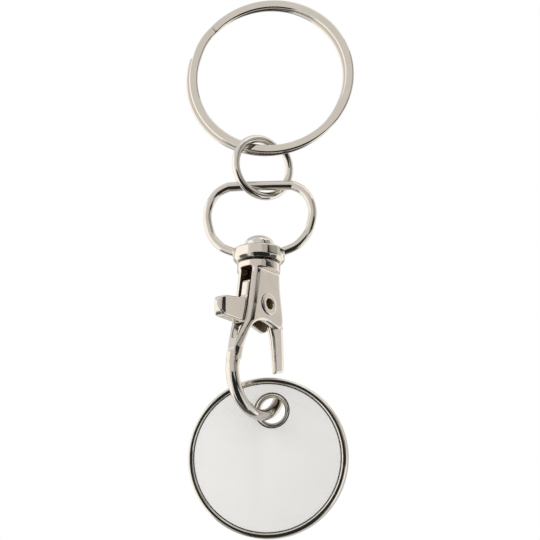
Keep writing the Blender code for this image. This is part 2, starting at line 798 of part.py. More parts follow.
def make_token(parts, empty, materials):
    """Metal blank with a raised rim on both faces, two pale inlays and a rolled eyelet."""
    center = Matrix.Translation((0, -TOKEN_HOLE_OFFSET, 0))
    half = TOKEN_THICKNESS / 2
    web = TOKEN_WEB_THICKNESS / 2
    edge = TOKEN_RIM_EDGE
    upper = [
        (0, web),
        (TOKEN_RECESS_RADIUS, web),
        (TOKEN_RECESS_RADIUS, half - edge / 2),
        (TOKEN_RECESS_RADIUS + edge / 2, half),
        (TOKEN_RADIUS - edge, half),
        (TOKEN_RADIUS - edge / 4, half - edge / 3),
        (TOKEN_RADIUS, half - edge),
    ]
    lower = [(radius, -height) for radius, height in reversed(upper)]
    blank = turned("coin_blank", upper + lower, parts, TOKEN_STEPS)
    place(blank, empty, center)
    cutters = bpy.data.collections["cutters"]
    hole = cylinder_cutter(
        "blank_hole", EYELET_BARREL_RADIUS + RUN_GAP, -TOKEN_THICKNESS, TOKEN_THICKNESS, "Z", cutters
    )
    combine(blank, hole, "DIFFERENCE", empty)
    blank.data.materials.append(materials["token metal"])
    inlay_radius = TOKEN_RECESS_RADIUS - INLAY_GAP
    inlay_low = web + INLAY_GAP
    inlay_high = inlay_low + INLAY_THICKNESS
    for name, low, high in (
        ("front_inlay", inlay_low, inlay_high),
        ("back_inlay", -inlay_high, -inlay_low),
    ):
        profile = [(0, high), (inlay_radius, high), (inlay_radius, low), (0, low)]
        inlay = turned(name, profile, parts, TOKEN_STEPS)
        place(inlay, empty, center)
        flange_hole = cylinder_cutter(
            name + "_hole", EYELET_FLANGE_RADIUS + INLAY_GAP, -TOKEN_THICKNESS, TOKEN_THICKNESS, "Z", cutters
        )
        combine(inlay, flange_hole, "DIFFERENCE", empty)
        inlay.data.materials.append(materials["pale face"])
    make_eyelet(parts, empty, materials["polished nickel"])


def make_eyelet(parts, empty, material):
    """Rolled tube through the blank, with a flange on each face and a flared mouth."""
    flange_low = TOKEN_WEB_THICKNESS / 2 + INLAY_GAP
    flange_high = flange_low + EYELET_FLANGE_THICKNESS
    roll = EYELET_FLANGE_THICKNESS / 2
    upper = [
        (EYELET_BORE_RADIUS, min(EYELET_BORE_HALF_LENGTH, flange_low)),
        (EYELET_MOUTH_RADIUS - roll, flange_high - roll),
        (EYELET_MOUTH_RADIUS, flange_high),
        (EYELET_FLANGE_RADIUS - roll, flange_high),
        (EYELET_FLANGE_RADIUS, flange_high - roll),
        (EYELET_FLANGE_RADIUS, flange_low),
        (EYELET_BARREL_RADIUS, flange_low),
    ]
    lower = [(radius, -height) for radius, height in reversed(upper)]
    eyelet = turned("eyelet", upper + lower, parts)
    eyelet.data.materials.append(material)
    place(eyelet, empty)
    return eyelet


def body_empty(name, frame, collection):
    """An empty that carries one body, on its joint's axis."""
    empty = bpy.data.objects.new(name, None)
    empty.empty_display_size = COLLAR_RADIUS
    empty.matrix_world = frame
    collection.objects.link(empty)
    return empty


def body_frames():
    """Frames of the six bodies, each hung on the one before it."""
    key_turn = facing(KEY_YAW, KEY_PITCH, KEY_ROLL)
    hang_height = Vector((0, KEY_INNER_DIAMETER / 2, 0))
    key = Matrix.Translation(-(key_turn @ hang_height)) @ key_turn
    jump_turn = facing(JUMP_YAW, JUMP_PITCH, 0)
    jump_place = key @ Vector((0, -KEY_MEAN_RADIUS, 0))
    jump = Matrix.Translation(jump_place) @ jump_turn
    eye_turn = facing(EYE_YAW, EYE_PITCH, EYE_ROLL)
    bar_seat = jump_center() + polar(jump_bar_seat(), JUMP_BAR_ANGLE)
    bar_place = jump @ bar_seat - eye_turn @ Vector((EYE_BAR_SLIDE, 0, 0))
    eye = Matrix.Translation(bar_place) @ eye_turn
    hook = eye @ Matrix.Translation((0, -EYE_HEIGHT, 0)) @ Matrix.Rotation(SWIVEL_TURN, 4, "Y")
    lever = hook @ Matrix.Translation((PIVOT_OFFSET, -PIVOT_DROP, 0))
    bowl_center = Vector((BOWL_OFFSET, -BOWL_DROP, 0))
    token_place = hook @ (bowl_center + polar(BOWL_RADIUS, TOKEN_HOOK_ANGLE))
    token_turn = facing(TOKEN_YAW, TOKEN_PITCH, TOKEN_ROLL)
    token = Matrix.Translation(token_place - token_turn @ Vector((0, TOKEN_SAG, 0))) @ token_turn
    return {"key": key, "jump": jump, "eye": eye, "hook": hook, "lever": lever, "token": token}


def main():
    """Build the keyring."""
    clear_scene()
    parts = new_collection("coin_keyring")
    cutters = new_collection("cutters")
    materials = {
        "spring wire": make_material("spring wire", NICKEL),
        "cast nickel": make_material("cast nickel", CAST_NICKEL),
        "polished nickel": make_material("polished nickel", NICKEL),
        "token metal": make_material("token metal", NICKEL),
        "spring steel": make_material("spring steel", SPRING_STEEL),
        "pale face": make_material("pale face", PALE_FACE),
    }
    empties = {}
    for name, frame in body_frames().items():
        empties[name] = body_empty(name + "_axis", frame, parts)
    make_key_ring(parts, cutters, empties["key"], materials["spring wire"])
    make_jump_ring(parts, empties["jump"], materials["spring wire"])
    make_swivel_eye(parts, cutters, empties["eye"], materials["cast nickel"])
    make_swivel_rivet(parts, empties["hook"], materials["polished nickel"])
    make_hook_body(parts, cutters, empties["hook"], materials["cast nickel"])
    make_gate_lever(parts, cutters, empties["lever"], materials["cast nickel"])
    make_pivot_rivet(parts, empties["lever"], materials["polished nickel"])
    make_gate_spring(parts, empties["lever"], materials["spring steel"])
    make_token(parts, empties["token"], materials)


main()
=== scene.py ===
"""Looks of a keyring with a trolley-coin token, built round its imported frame.

Metres, +Z up, front toward -Y. Each piece is modelled near the origin and then carried to its
place. Most are drawn flat, with X to the right, Y up and Z out of the drawing. A turned piece
stands on its own Z. A table of shares gives points in parts of sizes, which its maker names.
"""

import math

import bpy
from mathutils import Matrix, Vector


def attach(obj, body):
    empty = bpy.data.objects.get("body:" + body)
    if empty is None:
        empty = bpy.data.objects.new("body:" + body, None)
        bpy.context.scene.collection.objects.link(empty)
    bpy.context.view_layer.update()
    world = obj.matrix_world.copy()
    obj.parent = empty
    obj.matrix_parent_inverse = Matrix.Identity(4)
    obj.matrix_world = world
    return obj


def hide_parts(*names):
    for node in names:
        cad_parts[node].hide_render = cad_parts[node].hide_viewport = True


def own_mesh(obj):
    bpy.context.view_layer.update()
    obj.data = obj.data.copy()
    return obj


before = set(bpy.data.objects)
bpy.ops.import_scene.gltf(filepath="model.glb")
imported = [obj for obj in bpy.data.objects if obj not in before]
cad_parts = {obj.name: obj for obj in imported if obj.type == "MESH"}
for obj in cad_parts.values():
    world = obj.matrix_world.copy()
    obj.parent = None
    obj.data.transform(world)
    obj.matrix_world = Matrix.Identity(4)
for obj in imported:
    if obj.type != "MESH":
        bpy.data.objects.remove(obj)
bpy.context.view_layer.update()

# Body frames: place in metres, then yaw, pitch and roll in degrees
KEY_PLACE = (-0.000398, -0.001778, -0.010468)
KEY_TURN = (-5.6, 9.8, -1.2)
JUMP_PLACE = (-0.000826, -0.003689, -0.021723)
JUMP_TURN = (31.8, 2.3, 0)
EYE_PLACE = (-0.00177, -0.004231, -0.027059)
EYE_TURN = (-8, 6.6, -0.2)
SWIVEL_TURN = math.radians(59.6)
TOKEN_PLACE = (0.000004, -0.004934, -0.060335)
TOKEN_TURN = (-9.6, -7.5, -6.8)

# Key ring
KEY_RADIUS = 0.0114
KEY_BAND_WIDTH = 0.00125
KEY_BAND_THICKNESS = 0.00056
KEY_BAND_EDGE = 0.00026
KEY_TURN_SHIFT = (0.00024, 0.00010)
KEY_LAYER_PITCH = 0.00064
KEY_FRONT_END = math.radians(139)
KEY_CROSSOVER = math.radians(25)
KEY_STEPS = 300

# Jump ring
JUMP_RADIUS = 0.00434
JUMP_WIRE = 0.00115
JUMP_END_GAP = 0.0001
JUMP_FRONT_END = math.radians(33)
JUMP_CUT = math.radians(5)
JUMP_CENTER = (-0.000870, -0.002563, -0.00011)
JUMP_STEPS = 96

# Swivel eye
EYE_BAR = 0.00138
EYE_ARM = 0.00126
EYE_WIDTH = 0.0166
EYE_WINDOW = 0.00908
COLLAR_RADIUS = 0.0037
COLLAR_HEIGHT = 0.002
COLLAR_TOP_EDGE = 0.00022
COLLAR_FOOT_EDGE = 0.00045
EYE_HEIGHT = EYE_BAR / 2 + EYE_WINDOW + COLLAR_HEIGHT
EYE_ARM_SHARES = (
    (0.46, 0.0),
    (0.66, 0.020),
    (0.84, 0.105),
    (0.955, 0.240),
    (1.0, 0.395),
    (0.97, 0.557),
    (0.89, 0.715),
    (0.70, 0.860),
    (0.46, 0.935),
    (0.34, 0.96),
)
EYE_KNOT_STEPS = 8
EYE_PASSES = 5

# Swivel rivet
SEAT_GAP = 0.00028
RUN_GAP = 0.00008
RIVET_HEAD_RADIUS = 0.0021
RIVET_HEAD_HEIGHT = 0.0018
RIVET_HEAD_FLAT = 0.0005
RIVET_SHANK_RADIUS = 0.001
RIVET_FOOT_RADIUS = 0.00145
RIVET_FOOT_HEIGHT = 0.0005
DOME_STEPS = 8

# Hook body
NECK_RADIUS = 0.0031
NECK_HEIGHT = 0.00124
BODY_THICKNESS = 0.0038
BODY_HALF_WIDTH = 0.00345
BODY_LENGTH = 0.0134
BODY_CORNER_RADIUS = 0.0006
BODY_EDGE = 0.0004
BODY_PASSES = 12
CHEEK_DOME_RADIUS = 0.0016
CHEEK_DOME_WIDTH = 0.00115
BODY_DOME_END = 0.0165
ARM_CORNERS = 10
WEB_BOTTOM = 0.00129
SLOT_WIDTH = 0.002
SLOT_FULL_END = 0.0105
SLOT_LOWER_END = 0.0127
SLOT_END_SHARE = 0.4
SLOT_DULL_END = 0.0088
SLOT_CORNER = 0.0003
SLOT_DRAWN_SHARE = 0.7
SPRING_WALL = 0.0015
SPRING_WALL_END = 0.0057
CHEEK_TAPER_START = 0.0098
CHEEK_TAPER_LENGTH = 0.0044
CHEEK_TAPER_STEPS = 8
ARM_THICKNESS = 0.00196
CUT_REACH = 0.0104
CUT_OVERRUN = 0.0012
BODY_OUTLINE_SHARES = (
    (-0.681, -0.056),
    (-0.797, -0.134),
    (-0.870, -0.254),
    (-0.933, -0.373),
    (-1.029, -0.537),
    (-1.194, -0.731),
    (-1.377, -0.828),
    (-1.559, -0.937),
    (-1.745, -1.075),
    (-1.826, -1.209),
    (-1.339, -1.209),
    (-1.270, -1.119),
    (-1.188, -1.030),
    (-1.142, -0.952),
    (-1.081, -0.883),
    (-1.003, -0.834),
    (-0.893, -0.782),
    (-0.733, -0.743),
    (-0.551, -0.714),
    (-0.284, -0.692),
    (-0.012, -0.687),
    (0.261, -0.697),
    (0.533, -0.712),
    (0.812, -0.725),
    (1.014, -0.694),
    (1.061, -0.634),
    (1.029, -0.552),
    (0.957, -0.455),
    (0.875, -0.351),
    (0.806, -0.239),
    (0.771, -0.119),
    (0.725, -0.056),
)
HOOK_WIRE = 0.00195
HOOK_TIP_WIRE = 0.00166
TIP_END_WIRE = 0.0011
TAPER_SHARE = 1.5
BOWL_RADIUS = 0.00565
BOWL_DROP = 0.01715
BOWL_OFFSET = 0.00005
ARM_TOP_OFFSET = 0.0053
ARM_TOP_DROP = 0.0150
TIP_BEND_RADIUS = 0.0013
TIP_BEND = math.radians(12)
BOWL_STEPS = 48
TIP_STEPS = 10

# Lever, its rivet and its spring
PIVOT_OFFSET = 0.0001
PIVOT_DROP = 0.00656
LEVER_THICKNESS = 0.0018
LEVER_BOSS_RADIUS = 0.0016
LEVER_BOSS_START = math.radians(115)
LEVER_BOSS_END = math.radians(-95)
BOSS_STEPS = 24
TAIL_HEIGHT = 0.00328
TAIL_OUTER = 0.00345
TAB_REACH = 0.0096
TAB_BOTTOM = 0.00368
LEVER_EDGE = 0.0003
LEVER_PASSES = 4
THUMB_ROUND = 0.00115
THUMB_STEPS = 9
THUMB_MIDDLE = -0.00224
THUMB_CORNER_SHARE = 0.72
THUMB_LAST_SHARE = 0.985
TAIL_CUT = -0.0003
TAIL_CUT_BOTTOM = 0.00055
GATE_LENGTH = 0.00929
GATE_OFFSET = 0.00585
GATE_WIDTH = 0.00205
GATE_EDGE = 0.0003
GATE_FACET_TOP = 0.0022
GATE_FACET_WIDTH = 0.00078
GATE_FACET_SLOPES = (0.05, 0.17)
GATE_ROOT_THICKNESS = 0.0013
GATE_END_THICKNESS = 0.0009
LEVER_TAIL_SHARES = (
    (-1.0, 0.84),
    (-0.92, 0.97),
    (-0.80, 1.0),
    (-0.68, 0.93),
    (-0.60, 0.70),
)
TAB_SHARES = (
    (-0.427, -0.959),
    (-0.9375, -1.0),
    (-0.984, -0.918),
    (-1.0, -0.674),
    (-1.0, -0.340),
    (-0.969, -0.217),
    (-0.875, -0.177),
    (-0.427, 0.037),
    (-0.391, 0.177),
)
GATE_OUTER_SHARES = (
    (0.239, 0.010),
    (0.615, -0.024),
    (0.821, -0.111),
    (0.892, -0.231),
    (0.930, -0.394),
    (0.964, -0.606),
    (0.991, -0.769),
    (1.000, -0.909),
)
GATE_INNER_SHARES = (
    (1.000, -1.000),
    (0.953, -0.812),
    (0.874, -0.600),
    (0.789, -0.413),
    (0.645, -0.279),
    (0.421, -0.192),
    (0.132, -0.139),
)
TUBE_RIVET_RADIUS = 0.0011
TUBE_RIVET_BORE = 0.0008
TUBE_RIVET_FLARE = 0.0016
TUBE_FLANGE_HEIGHT = 0.00017
TUBE_EDGE_ROUNDS = 2
FLANGE_MOUTH_SHARES = (
    (1 / 3, 1 / 5),
    (1, 0),
)
FLANGE_RIM_SHARES = (
    (1, 1 / 8),
    (1 / 3, 1 / 3),
)
SPRING_WIRE = 0.00025
SPRING_COIL_RADIUS = 0.00055
SPRING_PITCH = 0.0007
SPRING_LIFT = 0.0026
SPRING_SIDES = 12
SPRING_STEPS = 20

# Token
TOKEN_RADIUS = 0.011625
TOKEN_THICKNESS = 0.002
TOKEN_RIM_WIDTH = 0.00085
TOKEN_WEB_THICKNESS = 0.0007
TOKEN_HOLE_OFFSET = 0.0069
TOKEN_SHARP_EDGE = math.radians(50)
RIM_PROFILE = (
    (0.00085, 0.00032),
    (0.00080, 0.00020),
    (0.00074, 0.00010),
    (0.00067, 0.00003),
    (0.00062, 0.000006),
    (0.00057, 0),
    (0.00027, 0),
    (0.00022, 0.000006),
    (0.00016, 0.00004),
    (0.00006, 0.00014),
    (0.00001, 0.00028),
    (0, 0.00042),
)
INLAY_THICKNESS = 0.00035
INLAY_GAP = 0.0001
INLAY_EDGE = 0.00008
EYELET_FLANGE_RADIUS = 0.00248
EYELET_BARREL_RADIUS = 0.0021
EYELET_BORE_RADIUS = 0.00185
EYELET_ROLL_STEPS = 12
EYELET_MOUTH_EASE = 0.7
EYELET_FLANGE_THICKNESS = 0.0004

# Fineness of the meshes
WIRE_SIDES = 32
FLAT_WIRE_ROUNDS = 6
TURN_SIDES = 96
TOKEN_SIDES = 192
FILLET_STEPS = 6
FILLET_REACH = 0.45
CAST_VOXEL = 0.0001
FINE_VOXEL = 0.00008
MELT_FACTOR = 0.5
EDGE_ROUNDS = 3
SHARP_EDGE = math.radians(40)
ALL_SMOOTH = math.pi
WELD_DISTANCE = 0.000002
LEAST_TURN = 1e-9

# Metal finishes: colour, least and most roughness, strength and fineness of the grain, spread of tone
WIRE_FINISH = ((0.66, 0.63, 0.585), (0.03, 0.08), 0.08, 5200, 0.05)
CAST_FINISH = ((0.65, 0.615, 0.57), (0.07, 0.13), 0.16, 4200, 0.08)
POLISHED_FINISH = ((0.66, 0.63, 0.585), (0.04, 0.09), 0.10, 5200, 0.05)
# The spring's dark brown colour is painted shade, like that of the slot it sits in; its roughness and
# grain are its own
SPRING_SHADE_FINISH = ((0.20, 0.16, 0.12), (0.35, 0.5), 0.2, 5200, 0.1)
CLOUD_FINENESS = 420
CLOUD_DETAIL = 5
CLOUD_SPAN = (0.35, 0.68)
POLISH_SPAN = (0.3, 0.7)
GRAIN_DETAIL = 3
GRAIN_DEPTH = 0.00002

# Slot and bore inner walls: a darker brown colour that is painted shade, and the higher roughness of
# unplated metal
SLOT_WALL_SHADE_AND_DULL = ((0.30, 0.22, 0.14), 0.5)
BORE_WALL_SHADE_AND_DULL = ((0.42, 0.33, 0.20), 0.45)

# Pale faces of the token
FACE_DARKER = (0.745, 0.735, 0.715)
FACE_LIGHTER = (0.785, 0.775, 0.758)
FACE_TONE_SPAN = (0, 1)
FACE_CLOUD_FINENESS = 130
FACE_CLOUD_DETAIL = 4
FACE_GRAIN = 0.06
FACE_GRAIN_FINENESS = 5200
FACE_GRAIN_DETAIL = 2
FACE_ROUGHNESS = 0.38

# Stage and light, lengths in metres
PIXEL = 0.0001452
IMAGE_PIXELS = 540
KEY_ROW = 78.1
CAMERA_DISTANCE = 1.5
CAMERA_PITCH = math.radians(12)
CAMERA_AIM = KEY_PLACE
SENSOR = 0.036
MILLIMETRES = 1000
CLIP_NEAR = 0.1
CLIP_FAR = 20
FILL_LEVEL = 0.86
FLOOR_SIZE = 6
FLOOR_HEIGHT = -0.12
FLOOR_TONE = (0.9, 0.9, 0.9)
FLOOR_ROUGHNESS = 0.9
CARD_TINT = (1, 0.96, 0.90)

# Cards: name, azimuth, elevation, width and height in degrees, tone, and for some a distance and slant
CARDS = (
    ("front_flag", 7, -22, 70, 86, 0.03),
    ("side_flag", 52, 9, 26, 22, 0.03),
    ("low_flag", 0, -88, 100, 44, 0.14, 0.9),
    ("upper_tent", 0, 50, 80, 56, 0.9, 1.2),
    ("tent_shade", 31, 34, 26, 60, 0.68, 1.15),
    ("right_strip", 49, 30, 9, 60, 0.03),
    ("right_shade", 74, 22, 42, 52, 0.52, 1.1),
    ("left_white", -98, -1, 90, 74, 1.55, 1.3),
    ("right_grey", 106, 0, 24, 84, 0.88, 1.3),
    ("right_white", 131, 0, 26, 84, 1.4, 1.3),
    ("near_white", 112, -29.5, 56, 43, 1.4, 0.12),
    ("near_flag", 57, 17.2, 46, 12, 0.03, 0.0533, 0.2),
    ("high_white", 95, 66, 70, 40, 1.4, 1.2),
    ("back_shade", 180, 0, 70, 70, 0.62, 1.3),
)

# Lamps: name, place, size and power
LAMPS = (
    ("left_box", (-0.9, -0.5, 0.35), (0.7, 0.9), 4),
    ("right_box", (1.1, 0.3, 0.3), (1.0, 1.2), 3.6),
)
LAMP_AIM = (0, 0, -0.04)


def facing(yaw, pitch, roll):
    """Turn from a drawing in XY to one that stands up and faces the viewer."""
    turn = Matrix.Rotation(math.radians(yaw), 4, "Z")
    lean = Matrix.Rotation(math.pi / 2 - math.radians(pitch), 4, "X")
    return turn @ lean @ Matrix.Rotation(math.radians(roll), 4, "Z")


KEY_FRAME = Matrix.Translation(KEY_PLACE) @ facing(*KEY_TURN)
JUMP_FRAME = Matrix.Translation(JUMP_PLACE) @ facing(*JUMP_TURN)
EYE_FRAME = Matrix.Translation(EYE_PLACE) @ facing(*EYE_TURN)
COLLAR_FOOT = Matrix.Translation((0, -EYE_HEIGHT, 0))
HOOK_FRAME = EYE_FRAME @ COLLAR_FOOT @ Matrix.Rotation(SWIVEL_TURN, 4, "Y")
LEVER_FRAME = HOOK_FRAME @ Matrix.Translation((PIVOT_OFFSET, -PIVOT_DROP, 0))
TOKEN_FRAME = Matrix.Translation(TOKEN_PLACE) @ facing(*TOKEN_TURN)
UPRIGHT = Matrix.Rotation(-math.pi / 2, 4, "X")


# Mesh tools

def start_piece():
    """Leave edit mode with nothing selected, ready for a new primitive."""
    if bpy.context.object and bpy.context.object.mode != "OBJECT":
        bpy.ops.object.mode_set(mode="OBJECT")
    bpy.ops.object.select_all(action="DESELECT")


def choose(item):
    """Make one object the only one selected, and active."""
    start_piece()
    item.select_set(True)
    bpy.context.view_layer.objects.active = item


def named(name):
    """Name the active object and its mesh."""
    item = bpy.context.object
    item.name = name
    item.data.name = name
    return item


def settle():
    """Take the active object's place, turn and size into its mesh."""
    bpy.ops.object.transform_apply(location=True, rotation=True, scale=True)


def start_edit():
    """Edit the active object with its whole mesh selected."""
    bpy.ops.object.mode_set(mode="EDIT")
    bpy.ops.mesh.select_all(action="SELECT")


def end_edit():
    """Turn all faces outwards and leave edit mode."""
    bpy.ops.mesh.select_all(action="SELECT")
    bpy.ops.mesh.normals_make_consistent(inside=False)
    bpy.ops.object.mode_set(mode="OBJECT")


def polar(radius, angle):
    """Point of the drawing plane at a radius and an angle from +X."""
    return Vector((radius * math.cos(angle), radius * math.sin(angle), 0))


def arc(center, radius, start, end, steps):
    """Points along an arc, both ends included."""
    turn = end - start
    return [center + polar(radius, start + turn * step / steps) for step in range(steps + 1)]


def drawn(shares, width, height):
    """Points of an outline given as shares of a width and a height."""
    return [Vector((across * width, up * height, 0)) for across, up in shares]


def held(share, highest=1):
    """A share kept between 0 and the highest."""
    return min(max(share, 0), highest)


def smooth_step(share):
    """Ease from 0 to 1 with level ends."""
    share = held(share)
    return share * share * (3 - 2 * share)


def smooth_curve(knots, steps):
    """Points of a smooth curve that runs through each knot."""
    points = []
    for index in range(len(knots) - 1):
        before = knots[max(index - 1, 0)]
        start, end = knots[index], knots[index + 1]
        after = knots[min(index + 2, len(knots) - 1)]
        leaving = (end - before) / 2
        arriving = (after - start) / 2
        for step in range(steps):
            share = step / steps
            square = share**2
            cube = share**3
            point = start * (2 * cube - 3 * square + 1) + leaving * (cube - 2 * square + share)
            point += end * (3 * square - 2 * cube) + arriving * (cube - square)
            points.append(point)
    points.append(knots[-1])
    return points


def filleted(corners, radius):
    """A closed outline with each corner rounded, as far as its sides allow."""
    points = []
    for index, corner in enumerate(corners):
        before = corners[index - 1] - corner
        after = corners[(index + 1) % len(corners)] - corner
        reach = min(before.length, after.length) * FILLET_REACH
        setback = min(radius / math.tan(before.angle(after) / 2), reach)
        start = corner + before.normalized() * setback
        end = corner + after.normalized() * setback
        for step in range(FILLET_STEPS + 1):
            share = step / FILLET_STEPS
            points.append(start.lerp(corner, share).lerp(corner.lerp(end, share), share))
    return points


def sweep(name, path, radii, flat=None):
    """A wire drawn along a path: a disc, or an oblong where flat gives width, thickness and edge."""
    start_piece()
    count = len(path)
    headings = []
    for index in range(count):
        ahead = path[min(index + 1, count - 1)] - path[max(index - 1, 0)]
        headings.append(math.atan2(ahead.y, ahead.x))
    turn = (math.pi / 2, 0, headings[0] + math.pi / 2)
    if flat:
        width, thickness, edge = flat
        bpy.ops.mesh.primitive_plane_add(size=1, location=path[0], rotation=turn)
        item = named(name)
        item.scale = (width, thickness, 1)
    else:
        bpy.ops.mesh.primitive_circle_add(
            vertices=WIRE_SIDES, radius=radii[0], fill_type="NGON", location=path[0], rotation=turn
        )
        item = named(name)
    settle()
    start_edit()
    if flat:
        bpy.ops.mesh.bevel(offset=edge, segments=FLAT_WIRE_ROUNDS, affect="VERTICES")
        bpy.ops.mesh.select_all(action="SELECT")
    for index in range(1, count):
        step = path[index] - path[index - 1]
        bpy.ops.mesh.extrude_region_move(TRANSFORM_OT_translate={"value": step})
        turn = headings[index] - headings[index - 1]
        turn = (turn + math.pi) % (2 * math.pi) - math.pi
        if abs(turn) > LEAST_TURN:
            bpy.ops.transform.rotate(value=-turn, orient_axis="Z", center_override=path[index])
        ratio = radii[index] / radii[index - 1]
        if ratio != 1:
            bpy.ops.transform.resize(value=(ratio, ratio, ratio), center_override=path[index])
    end_edit()
    return item


def turned(name, profile, sides=TURN_SIDES, tube=False):
    """A profile of radius and height about Z: one circle, extruded and resized at each pair."""
    start_piece()
    radius, height = profile[0]
    fill = "NOTHING" if tube else "NGON"
    bpy.ops.mesh.primitive_circle_add(
        vertices=sides, radius=radius, fill_type=fill, location=(0, 0, height)
    )
    item = named(name)
    settle()
    start_edit()
    pairs = profile[1:] + (profile[:1] if tube else [])
    for next_radius, next_height in pairs:
        rise = (0, 0, next_height - height)
        bpy.ops.mesh.extrude_region_move(TRANSFORM_OT_translate={"value": rise})
        ratio = next_radius / radius
        bpy.ops.transform.resize(value=(ratio, ratio, 1), center_override=(0, 0, next_height))
        radius, height = next_radius, next_height
    bpy.ops.mesh.select_all(action="SELECT")
    bpy.ops.mesh.remove_doubles(threshold=WELD_DISTANCE)
    end_edit()
    return item


def both_faces(face):
    """A profile of one face of a turned piece, followed by its mirror image."""
    return face + [(radius, -height) for radius, height in reversed(face)]


def plate(name, outline, thickness):
    """A flat piece: one filled circle whose points are moved to the outline, then extruded."""
    start_piece()
    bpy.ops.mesh.primitive_circle_add(vertices=len(outline), radius=thickness, fill_type="NGON")
    item = named(name)
    for vertex, point in zip(item.data.vertices, outline):
        vertex.co = (point.x, point.y, -thickness / 2)
    start_edit()
    bpy.ops.mesh.extrude_region_move(TRANSFORM_OT_translate={"value": (0, 0, thickness)})
    end_edit()
    return item


def box(name, low, high):
    """A block between two corners, used as a cutter."""
    start_piece()
    low, high = Vector(low), Vector(high)
    bpy.ops.mesh.primitive_cube_add(size=1, location=(low + high) / 2)
    item = named(name)
    item.scale = high - low
    settle()
    return item


def rod(name, radius, low, high, along="Z"):
    """A round bar along local Y or Z between two heights."""
    start_piece()
    rotation = (math.pi / 2, 0, 0) if along == "Y" else (0, 0, 0)
    middle = (low + high) / 2
    location = (0, middle, 0) if along == "Y" else (0, 0, middle)
    bpy.ops.mesh.primitive_cylinder_add(
        vertices=TURN_SIDES, radius=radius, depth=high - low, location=location, rotation=rotation
    )
    item = named(name)
    settle()
    return item


def move(item, matrix):
    """Carry an object's mesh to another place."""
    choose(item)
    item.matrix_world = matrix
    settle()
    return item


def slice_across(item, places, axis):
    """Slice a piece through, square to an axis, at some places along it."""
    choose(item)
    start_edit()
    for place in places:
        bpy.ops.mesh.select_all(action="SELECT")
        bpy.ops.mesh.bisect(plane_co=Vector(axis) * place, plane_no=axis)
    bpy.ops.object.mode_set(mode="OBJECT")


def apply(item, kind, **settings):
    """Add a modifier with its settings and apply it."""
    choose(item)
    modifier = item.modifiers.new(kind.lower(), kind)
    for key, value in settings.items():
        setattr(modifier, key, value)
    bpy.ops.object.modifier_apply(modifier=modifier.name)


def soften(item, width, rounds=EDGE_ROUNDS):
    """Round the sharp edges of a piece."""
    apply(item, "BEVEL", width=width, segments=rounds, limit_method="ANGLE", angle_limit=SHARP_EDGE)


def cut(item, *cutters, operation="DIFFERENCE"):
    """Cut each cutter from a piece, or join it, and delete the cutter."""
    for cutter in cutters:
        apply(item, "BOOLEAN", operation=operation, solver="EXACT", object=cutter)
        bpy.data.objects.remove(cutter, do_unlink=True)


def cast(item, voxel, passes):
    """Melt a joined piece into one skin with soft inner corners, as a casting has."""
    apply(item, "REMESH", mode="VOXEL", voxel_size=voxel, adaptivity=0.0)
    apply(item, "SMOOTH", factor=MELT_FACTOR, iterations=passes)


def finish(item, body, material, place, node, angle=SHARP_EDGE):
    """Shade, place and dress a finished piece, and hang it on its body."""
    choose(item)
    bpy.ops.object.shade_smooth_by_angle(angle=angle)
    move(item, place)
    item.data.materials.clear()
    item.data.materials.append(material)
    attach(item, body)
    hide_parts(node)


# Materials

def new_material(name):
    """A material with one Principled shader, its tree and that shader."""
    material = bpy.data.materials.new(name)
    material.use_nodes = True
    tree = material.node_tree
    return material, tree, tree.nodes["Principled BSDF"]


def add_noise(tree, place, fineness, detail):
    """A cloudy pattern that stays with the piece."""
    pattern = tree.nodes.new("ShaderNodeTexNoise")
    pattern.inputs["Scale"].default_value = fineness
    pattern.inputs["Detail"].default_value = detail
    tree.links.new(place.outputs["Object"], pattern.inputs["Vector"])
    return pattern.outputs["Fac"]


def add_tones(tree, shader, clouds, span, darker, lighter):
    """Colour that goes from one tone to the other over a span of the clouds."""
    ramp = tree.nodes.new("ShaderNodeValToRGB")
    for element, position, color in zip(ramp.color_ramp.elements, span, (darker, lighter)):
        element.position = position
        element.color = (*color, 1)
    tree.links.new(clouds, ramp.inputs["Fac"])
    tree.links.new(ramp.outputs["Color"], shader.inputs["Base Color"])


def add_grain(tree, shader, place, strength, fineness, detail):
    """Fine grain that only tilts the surface."""
    pores = add_noise(tree, place, fineness, detail)
    bump = tree.nodes.new("ShaderNodeBump")
    bump.inputs["Strength"].default_value = strength
    bump.inputs["Distance"].default_value = GRAIN_DEPTH
    tree.links.new(pores, bump.inputs["Height"])
    tree.links.new(bump.outputs["Normal"], shader.inputs["Normal"])


def plated(name, color, roughness, grain, fineness, spread):
    """Plated metal: faint cloudy tone, uneven polish and a fine grain."""
    material, tree, shader = new_material(name)
    place = tree.nodes.new("ShaderNodeTexCoord")
    clouds = add_noise(tree, place, CLOUD_FINENESS, CLOUD_DETAIL)
    darker = [part * (1 - spread) for part in color]
    add_tones(tree, shader, clouds, CLOUD_SPAN, darker, color)
    polish = tree.nodes.new("ShaderNodeMapRange")
    polish.inputs["From Min"].default_value, polish.inputs["From Max"].default_value = POLISH_SPAN
    polish.inputs["To Min"].default_value, polish.inputs["To Max"].default_value = roughness
    tree.links.new(clouds, polish.inputs["Value"])
    tree.links.new(polish.outputs["Result"], shader.inputs["Roughness"])
    add_grain(tree, shader, place, grain, fineness, GRAIN_DETAIL)
    shader.inputs["Metallic"].default_value = 1.0
    return material


